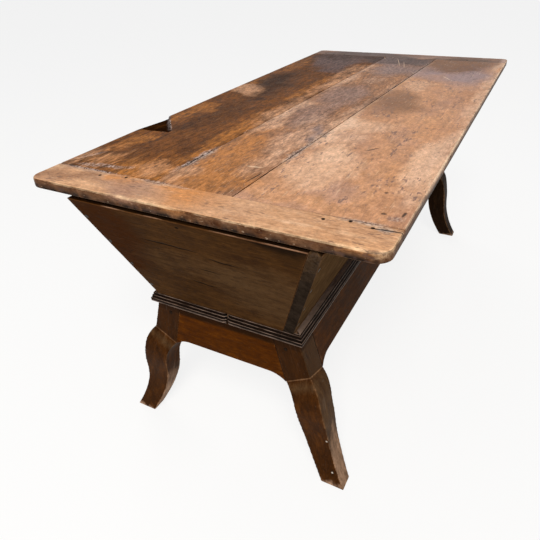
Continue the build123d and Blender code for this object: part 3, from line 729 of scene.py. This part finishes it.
def buildBreadboard(node, end, corner, seed, material):
    bm = lidBoard((2 * halfWide, lid["board"]), end * (halfLong - lid["board"] / 2))
    upright = [e for e in bm.edges if abs(e.verts[0].co.z - e.verts[1].co.z) > 1 * mm
               and end * e.verts[0].co.y > halfLong - 1 * mm]
    roundEdges(bm, upright, corner, 8)
    inner = end * plankHalf

    def onRim(edge, z):
        return (all(abs(v.co.z - z) < 0.1 * mm for v in edge.verts)
                and not all(abs(v.co.y - inner) < 0.1 * mm for v in edge.verts))

    for z, width, steps in ((lidTop, lid["arrisTop"], 5), (lidUnder, lid["arrisBottom"], 3)):
        roundEdges(bm, [e for e in bm.edges if onRim(e, z)], width, steps)
    cutAcross(bm, (1, 0, 0), -halfWide, halfWide, 7 * mm)
    cutAcross(bm, (0, 1, 0), min(inner, end * halfLong), max(inner, end * halfLong), 15 * mm)
    markArrises(bm, widest=90)
    markFaces(bm, (1, 0, 0), bareSide=(0, 0, -1), sideways=True)
    markLid(bm)
    calmJoints(bm)
    wearDown(bm, seed, hollows=0.6 * mm, wave=140 * mm, nicks=1.5 * mm, nickWave=20 * mm)
    finishPiece(bm, node, "lid", "lid_wood", material)


def jointEdge(joint, gap, sign):
    return tuple(x + sign * gap / 2 for x in lid[joint])


plankWood = {
    "left": agedWood(
        "waxedWalnutLeftPlank", shift=(0.3, 0.24, 0.10), dark="#56310F", middle="#6A3E18",
        light="#7E4E24", blotch="#3A2008", bloom="#5E4C49", stain="#2C1502", rubbed="#B88A68",
        warm="#A86C34", speck="#2C211E", crumb="#C0B0AA", lineAmount=0.4, haze=0.0, gloss=0.02,
        scratch="#BE9468", scratchAmount=0.22, chipAmount=0.2, worn="#B48A60", grit=0.85, scores=lidScores),
    "middle": agedWood(
        "waxedWalnutMiddlePlank", shift=(1.7, -0.02, 0.16), dark="#845838", middle="#986A48",
        light="#A87956", blotch="#704930", bloom="#846E68", stain="#463430", rubbed="#CEA486",
        warm="#A66C38", haze=0.15, gloss=0.06, grit=0.7, patchiness=0.65, scores=lidScores),
    # the right plank's pale arris colour is wear and also a painted highlight along its edge
    "right": agedWood(
        "waxedWalnutRightPlank", shift=(2.9, -0.22, 0.14), dark="#B28058", middle="#C08C64",
        light="#CE9A74", blotch="#926650", bloom="#8E7878", stain="#6A4426", rubbed="#E6C0A2",
        warm="#C4864E", worn="#F0D0AE", wornAmount=0.8, lineAmount=0.2, streakShare=0.16, ringShare=0.08,
        fibreShare=0.16, haze=0.3, speckAmount=0.7, speck="#5E4A48", patchiness=0.35, gloss=0.1,
        relief=0.14, gritLength=9 * mm, gritWidth=7 * mm, bump=0.4, scores=lidScores),
}
boardScores = [
    ((378, -756, 760), (48, 3.2, 20), 3, "dark"),
    ((300, -741, 760), (110, 1.3, 20), 0, "dark"),
]
boardWood = {
    # the near board's pale arris colour is wear and also a painted highlight along its front edge
    "near": agedWood(
        "waxedWalnutNearBoard", scores=boardScores, along=(1, 0, 0), shift=(0.4, 0.75, 0.10),
        dark="#BC8A62", middle="#D0A078", light="#DEB28C", blotch="#A07050", blotchAmount=0.45,
        stain="#7A5034", rubbed="#E2BC96", warm="#C08048", bloom="#9C7660", worn="#F0CDA4",
        wornAmount=0.55, side="#402008", lineAmount=0.3, gloss=0.07, grit=0.36, gritLength=9 * mm,
        gritWidth=6 * mm, bump=0.4, relief=0.2),
    "far": agedWood(
        "waxedWalnutFarBoard", along=(1, 0, 0), shift=(2.1, -0.75, 0.12), dark="#6A4A38",
        middle="#805C48", light="#96745E", bloom="#4A3A38", warm="#8A5C3C", stain="#4E3422",
        rubbed="#B09080", side="#402612", gloss=0.1),
}
# the wood laid open in the hollow never had wax and is quite dull; it is painted very dark
dryWood = agedWood(
    "dryBrokenWalnut", dark="#160A03", middle="#2A1608", light="#48280E", blotch="#120903",
    speck="#1C1613", crumb="#665A56", haze=0.0, gloss=0.0, roughness=0.85, scratchAmount=0.0,
    chipAmount=0.0)
outerLeft, outerRight = (-halfWide, -halfWide), (halfWide, halfWide)
buildPlank("lid_plank_left", outerLeft, jointEdge("leftJoint", lid["leftGap"], -1), 1, plankWood["left"],
           dryWood)
buildPlank("lid_plank_middle", jointEdge("leftJoint", lid["leftGap"], 1),
           jointEdge("rightJoint", lid["rightGap"], -1), 2, plankWood["middle"])
buildPlank("lid_plank_right", jointEdge("rightJoint", lid["rightGap"], 1), outerRight, 3, plankWood["right"])
buildBreadboard("lid_breadboard_near", -1, lid["nearCorner"], 4, boardWood["near"])
buildBreadboard("lid_breadboard_far", 1, lid["farCorner"], 5, boardWood["far"])
print("lid done")


# ---- trough

trough = {
    "lean": 0.37,
    "arris": 1.6 * mm,
    "grid": 30 * mm,
    "brokenAbove": 652 * mm,
    "brokenSoft": 60 * mm,
}
slope = atan(trough["lean"])
oldTrough = dict(
    dark="#331D0A", middle="#3F270F", light="#4C3116", blotch="#281706", blotchAmount=0.5, warm="#341700",
    bloom="#4C3620", stain="#140A04", rubbed="#B08A70", worn="#5E3C22", scratchAmount=0.10,
    chipAmount=0.1, scratch="#6B4C30", grimeAndShade="#0E0703", gloss=0.012, roughness=0.5, grit=0.2, relief=0.12,
    haze=0.12, lineAmount=0.2, speckAmount=0.3, speck="#140C07", crumb="#362D27", bare="#6E5036",
    endGrain="#1C130E")
# cracks along the grain of the near end, and a nail hole
endScores = [
    ((-60, -798, 655), (85, 60, 3.0), 0, "dark"),
    ((70, -792, 641), (42, 60, 2.6), 0, "dark"),
    ((-8, -762, 549), (42, 60, 2.6), 0, "dark"),
    ((-10, -825, 715), (5, 30, 3.5), 0, "dark"),
    ((20, -780, 600), (30, 60, 1.8), 0, "dark"),
]
troughWood = {
    "trough_end_near": dict(oldTrough, scores=endScores),
    "trough_end_far": oldTrough,
    "trough_side_left": dict(oldTrough, dark="#2A180A", middle="#362010", light="#462C18", blotch="#1E1109"),
    "trough_side_right": dict(
        oldTrough, dark="#463220", middle="#553F28", light="#614A32", blotch="#36261A", bloom="#32261C",
        rubbed="#8E6440", worn="#5A4230", gloss=0.0, haze=0.0, endGrain="#342A22", speck="#1C1512"),
}
# the near end's warmer places, its painted sheen and its darker places near the top: place and reach in x and
# z, kind and strength
endMarks = [((-235, 640), (130, 140), "warm", 1.0), ((-40, 600), (170, 50), "bloom", 0.5),
            ((150, 570), (140, 110), "bloom", 0.75), ((230, 725), (60, 20), "stain", 0.8),
            ((190, 735), (90, 16), "stain", 0.9)]


def buildTroughBoard(name, seed, wood):
    out, along = directions(name.split("_")[-1])
    face = Vector((out.x * cos(slope), out.y * cos(slope), -sin(slope)))
    up = Vector((out.x * sin(slope), out.y * sin(slope), cos(slope)))
    low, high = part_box(name)
    bm = mergedCopy(name)
    easeArrises(bm, trough["arris"], 60 * mm)
    cutAcross(bm, along, low.dot(along), high.dot(along), trough["grid"])
    cutAcross(bm, (0, 0, 1), low.z, high.z, trough["grid"])
    arris = max((v.co for v in bm.verts), key=lambda co: co.dot(face) + 3 * co.dot(up)).copy()
    for inward in (face * 2.1 * mm, face * 6 * mm, up * 2.1 * mm, up * 7 * mm):
        cutPlane(bm, arris - inward, inward.normalized())
    markArrises(bm)
    markFaces(bm, along, bareSide=-face)
    layers = {kind: bm.verts.layers.float.new(kind) for kind in ("warm", "bloom", "stain", "seam")}
    for v in bm.verts if name == "trough_end_near" else ():
        for (x, z), (rx, rz), kind, much in endMarks:
            near = max(0.0, 1 - ((v.co.x / mm - x) / rx) ** 2 - ((v.co.z / mm - z) / rz) ** 2)
            v[layers[kind]] = min(1.0, v[layers[kind]] + much * near * (2 - near))
    # only the outer arris of the top edge is rubbed pale, as wear and as a painted highlight, and it is
    # broken in places; the top face behind it is painted dark as the shadow under the lid
    rubbed = bm.verts.layers.float.new("rubbed")
    for v in bm.verts:
        fromFace, fromTop = (arris - v.co).dot(face), (arris - v.co).dot(up)
        if fromTop < 1.3 * mm and fromFace < 1.3 * mm:
            v[rubbed] = min(1.0, max(0.0, 0.35 + 2.2 * noise.noise(v.co / (24 * mm))))
        elif fromTop < 1 * mm:
            v[layers["stain"]] = 1.0
    # the end grain of the long boards is broken and grey near the top
    if out.x:
        endGrain = bm.faces.layers.float["endGrain"]
        for f in bm.faces:
            share = (f.calc_center_median().z - trough["brokenAbove"]) / trough["brokenSoft"]
            if f[endGrain] and share > 0:
                f[endGrain] = max(0.0, 1.0 - share)
                for v in f.verts:
                    v[layers["seam"]] = 0.55
    wearDown(bm, seed, hollows=0.3 * mm, nicks=0.8 * mm)
    material = walnutFor(name, along=along, face=face, shift=(seed * 0.7, 0.1, 0.1 + seed * 0.01), **wood)
    finishPiece(bm, name, "box", "trough_wood", material)


for seed, (name, wood) in enumerate(troughWood.items(), 11):
    buildTroughBoard(name, seed, wood)
print("trough done")


# ---- base

base = {
    "lean": 0.30,
    "arris": 1.4 * mm,
    "voxel": 2.4 * mm,
    "kneeAt": (224, 720, 324),
    "kneeSlopes": (0.60, 0.31),
    "smoothings": 3,
    "sharpness": 0.5,
    "shadowLow": 392 * mm,
    "shadowSoft": 5 * mm,
    "shadowAmount": 0.9,
}
baseWood = dict(
    dark="#2C1502", middle="#3C1F05", light="#4C2A0B", blotch="#241102", blotchAmount=0.4,
    bloom="#4E3822", stain="#261202", rubbed="#A8866C", worn="#8A6648", scratch="#7A5636",
    scratchAmount=0.10, chipAmount=0.12, grimeAndShade="#0C0603", gloss=0.03, roughness=0.45, grit=0.22,
    relief=0.17, haze=0.05, lineAmount=0.25, speckAmount=0.25, speck="#120A05", bare="#5E442E",
    endGrain="#33241A")
apronWood = dict(
    baseWood, dark="#3A1A00", middle="#482200", light="#582E02", blotch="#321500", worn="#7A4A20",
    stain="#1A0C02", haze=0.0, gloss=0.02)
# dark walnut; its pale arris colour gives the painted highlights on the reed crests
mouldingWood = dict(
    baseWood, dark="#0B0602", middle="#120904", light="#1C1009", worn="#8E786A", wornAmount=0.65,
    grimeAndShade="#040201", gloss=0.03)
# the far legs: the same wood painted darker, as painted shade
shadedFarLegWood = dict(baseWood, dark="#160C04", middle="#1E1108", light="#28190D", gloss=0.02)


def shadowBelowMoulding(v):
    # painted shadow: the wood just below the moulding is painted darker where the moulding's shade falls
    return base["shadowAmount"] * max(0.0, min(1.0, (v.co.z - base["shadowLow"]) / base["shadowSoft"] + 0.5))


# two pale dots where nails were filled
legNails = {"leg_near_right": [((x, -740, z), (3.2, 80, 3.2), 0, "pale") for x, z in ((275, 139), (297, 41))]}


def buildLeg(name, seed):
    bm = mergedCopy(name)
    mesh = bpy.data.meshes.new(name + "_work")
    bm.to_mesh(mesh)
    bm.free()
    work = addObject(name + "_work", mesh)
    remesh = work.modifiers.new("evenGrid", "REMESH")
    remesh.mode = "VOXEL"
    remesh.voxel_size = base["voxel"]
    shaped = bpy.data.meshes.new_from_object(work.evaluated_get(bpy.context.evaluated_depsgraph_get()))
    bpy.data.objects.remove(work)
    bm = bmesh.new()
    bm.from_mesh(shaped)
    bpy.data.meshes.remove(shaped)
    before = [v.co.copy() for v in bm.verts]
    for step in range(base["smoothings"]):
        bmesh.ops.smooth_vert(bm, verts=bm.verts, factor=0.5, use_axis_x=True, use_axis_y=True,
                              use_axis_z=True)
    bm.normal_update()
    rim, groove, rubbed, bloom, stain = [bm.verts.layers.float.new(kind) for kind in
                                         ("rim", "groove", "rubbed", "bloom", "stain")]
    for v, place in zip(bm.verts, before):
        stands = (place - v.co).dot(v.normal)
        v[rim] = min(1, max(0, stands / (0.45 * mm) - 0.2))
        v[groove] = min(1, max(0, -stands / (0.45 * mm) - 0.2))
    # the arrises get back part of what the smoothing took
    for v, place in zip(bm.verts, before):
        v.co = v.co.lerp(place, base["sharpness"])
    # the knee line, where the flat post meets the swelling leg, is rubbed pale, and so are the feet; a band
    # of painted sheen lies just below the knee, and the post above it is painted darker as shade
    end = 1 if "far" in name else -1
    (kneeX, kneeY, kneeZ), (slopeX, slopeY) = base["kneeAt"], base["kneeSlopes"]
    for v in bm.verts:
        x, y, z = abs(v.co.x) / mm, end * v.co.y / mm, v.co.z / mm
        above = z - kneeZ - slopeX * (x - kneeX) - slopeY * (y - kneeY)
        if v.normal.y * end > 0.5 or abs(v.normal.x) > 0.7 and v.normal.x * v.co.x > 0:
            v[rim] = max(0.35 * v[rim], 1.1 - abs(above + 1) / 2.2)
            # painted sheen: a band just below the knee line
            v[bloom] = max(0, 0.7 - abs(above + 26) / 38) if above < -2 else 0
            # painted sheen on the near legs' faces turned to the right
            v[bloom] = max(v[bloom], 0.75 * min(1, max(0, (v.normal.x - 0.6) / 0.2))) if end < 0 else v[bloom]
        # the post above the knee line is painted darker, as painted shade
        v[stain] = 0.5 if above > 0 else 0
        # the near legs take the painted shadow below the moulding
        if end < 0:
            v[stain] = max(v[stain], shadowBelowMoulding(v))
        chipped = 0.7 + 1.2 * noise.noise(v.co / (16 * mm))
        v[rubbed] = min(1, max(0, 1.5 - z / 13) * (0.6 + 0.4 * v[rim]) * max(0, chipped))
        # on the near legs the faces turned to the right are also painted paler towards the foot, a painted
        # highlight
        if end < 0 and v.normal.x > 0.6:
            v[rubbed] = max(v[rubbed], 0.6 * max(0, min(1, 1.8 - z / 110)))
    wearDown(bm, seed, hollows=0.3 * mm, nicks=1.2 * mm, nickWave=18 * mm)
    side = 1 if "right" in name else -1
    wood = dict(shadedFarLegWood if end > 0 else baseWood, scratch="#D8CDBE", scratchAmount=0.02, chipAmount=0.02)
    material = walnutFor(name, along=(side * 0.25, 0, -1), face=(0, -1, 0), shift=(seed * 0.6, 0.05, 0.08),
                         scores=legNails.get(name, ()), **wood)
    markFaces(bm, (0, 0, 1))
    finishPiece(bm, name, "box", "base_wood", material, smoothBelow=60)


def buildRail(name, seed, wood, slotName):
    out, along = directions(name.split("_")[-1])
    low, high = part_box(name)
    bm = mergedCopy(name)
    easeArrises(bm, base["arris"], 20 * mm)
    cutAcross(bm, along, low.dot(along), high.dot(along), 20 * mm)
    cutAcross(bm, (0, 0, 1), low.z, high.z, 20 * mm)
    cutAcross(bm, (0, 0, 1), base["shadowLow"] - 8 * mm, high.z, 4 * mm)
    markArrises(bm)
    markFaces(bm, along, bareSide=-out)
    stain = bm.verts.layers.float.new("stain")
    # the near apron takes the painted shadow below the moulding
    for v in bm.verts if out.y < 0 else ():
        v[stain] = shadowBelowMoulding(v)
    wearDown(bm, seed, hollows=0.3 * mm, nicks=0.8 * mm)
    lean = base["lean"] if out.x else 0
    material = walnutFor(name, along=along, face=(out.x, out.y, lean), shift=(seed * 0.5, 0.06, 0.09), **wood)
    finishPiece(bm, name, "box", slotName, material)


reeds = {
    "low": 424.5 * mm,
    "high": 446 * mm,
    "count": 3,
    "jointReach": 6 * mm,
    "jointDepth": 5 * mm,
}


def buildMoulding(name, seed):
    out, along = directions(name.split("_")[1])
    low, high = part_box(name)
    bm = mergedCopy(name)
    cutAcross(bm, along, low.dot(along), high.dot(along), 9 * mm)
    cutAcross(bm, along, low.dot(along), low.dot(along) + 6 * mm, 1.5 * mm)
    cutAcross(bm, along, high.dot(along) - 6 * mm, high.dot(along), 1.5 * mm)
    cutAcross(bm, (0, 0, 1), reeds["low"], reeds["high"], 1.1 * mm)
    markArrises(bm, widest=200)
    markFaces(bm, along)
    # the crests of the reeds carry painted highlights as well as wear, set a little above their middles where
    # light from above catches them, and the grooves between them hold dirt and painted shade
    rim, groove = bm.verts.layers.float["rim"], bm.verts.layers.float["groove"]
    for v in bm.verts:
        if reeds["low"] - 0.1 * mm < v.co.z < reeds["high"]:
            phase = (reeds["high"] - v.co.z) / (reeds["high"] - reeds["low"]) * reeds["count"] % 1
            patch = 0.95 + 0.7 * noise.noise(v.co / (28 * mm)) + 0.5 * noise.noise(v.co / (7 * mm))
            v[rim] = min(1, max(0, (1 - abs(phase - 0.36) / 0.13) * patch))
            v[groove] = max(v[groove], 1 - min(phase, 1 - phase) / 0.16, 0)
    # the two near lengths have shrunk apart at their joint
    joint = {"moulding_near_left": high.x, "moulding_near_right": low.x}.get(name)
    for v in bm.verts if joint is not None else ():
        gap = max(0, 1 - abs(v.co.x - joint) / reeds["jointReach"])
        v.co.y += reeds["jointDepth"] * gap * (1 if v.co.y < low.y + 8 * mm else 0)
        v[groove] = max(v[groove], min(1, 1.5 * gap))
    wearDown(bm, seed, hollows=0.4 * mm, wave=40 * mm, nicks=1.0 * mm, nickWave=14 * mm)
    material = walnutFor(name, along=along, face=(out.x, out.y, 0.4), shift=(seed * 0.5, 0.04, 0.07),
                         **mouldingWood)
    finishPiece(bm, name, "box", "moulding_wood", material)


for seed, name in enumerate(("leg_near_left", "leg_near_right", "leg_far_left", "leg_far_right"), 21):
    buildLeg(name, seed)
buildRail("apron_near", 31, apronWood, "apron_wood")
buildRail("apron_far", 32, apronWood, "apron_wood")
buildRail("rail_left", 33, baseWood, "base_wood")
buildRail("rail_right", 34, baseWood, "base_wood")
for seed, place in enumerate(("near_left", "near_right", "far", "left", "right"), 41):
    buildMoulding("moulding_" + place, seed)
print("base done")


# ---- pieces kept from the CAD with finished materials

def forgedIron():
    # wrought iron, blackened by the smith and by age: dark grey with brown bloom, half dull
    material = newMaterial("blackenedWroughtIron")
    add = partial(addNode, material.node_tree)
    coords = add("TexCoord", out="Object")
    scale = add("TexNoise", {"Vector": coords, "Scale": 90.0, "Detail": 4.0})
    tone = add("ValToRGB", {0: scale})
    setRamp(tone, [(0.35, "#2A2725"), (0.55, "#3E3A37"), (0.72, "#5A4335")])
    dull = add("MapRange", {"Value": scale, "To Min": 0.4, "To Max": 0.75})
    hammer = add("TexVoronoi", {"Vector": coords, "Scale": 160.0}, "Distance", feature="SMOOTH_F1")
    bump = add("Bump", {"Height": hammer, "Distance": 0.6 * mm, "Strength": 0.6})
    shader = add("BsdfPrincipled", {"Base Color": tone, "Metallic": 0.85, "Roughness": dull, "Normal": bump})
    add("OutputMaterial", {"Surface": shader})
    return material


def dress(names, material):
    for name in names:
        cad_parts[name].data.materials.clear()
        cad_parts[name].data.materials.append(material)


iron = forgedIron()
# oak pegs, seen on their dark end grain, and bottom boards that were scrubbed and never waxed
pegWood = agedWood(
    "oakPegEndGrain", dark="#120B06", middle="#1E130B", light="#2E1E12", blotch="#120C08",
    scratchAmount=0.0, chipAmount=0.0, haze=0.0, gloss=0.03, roughness=0.6)
bottomWood = agedWood(
    "scrubbedWalnutBottom", dark="#4A3524", middle="#6B4E36", light="#8A6B4C", shift=(0.3, 0.1, 0.1),
    roughness=0.7, gloss=0.15)
dress([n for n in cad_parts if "nails" in n or "hinge" in n], iron)
dress([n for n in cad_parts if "pegs" in n], pegWood)
dress(["trough_bottom_left", "trough_bottom_right"], bottomWood)
print("small pieces done")
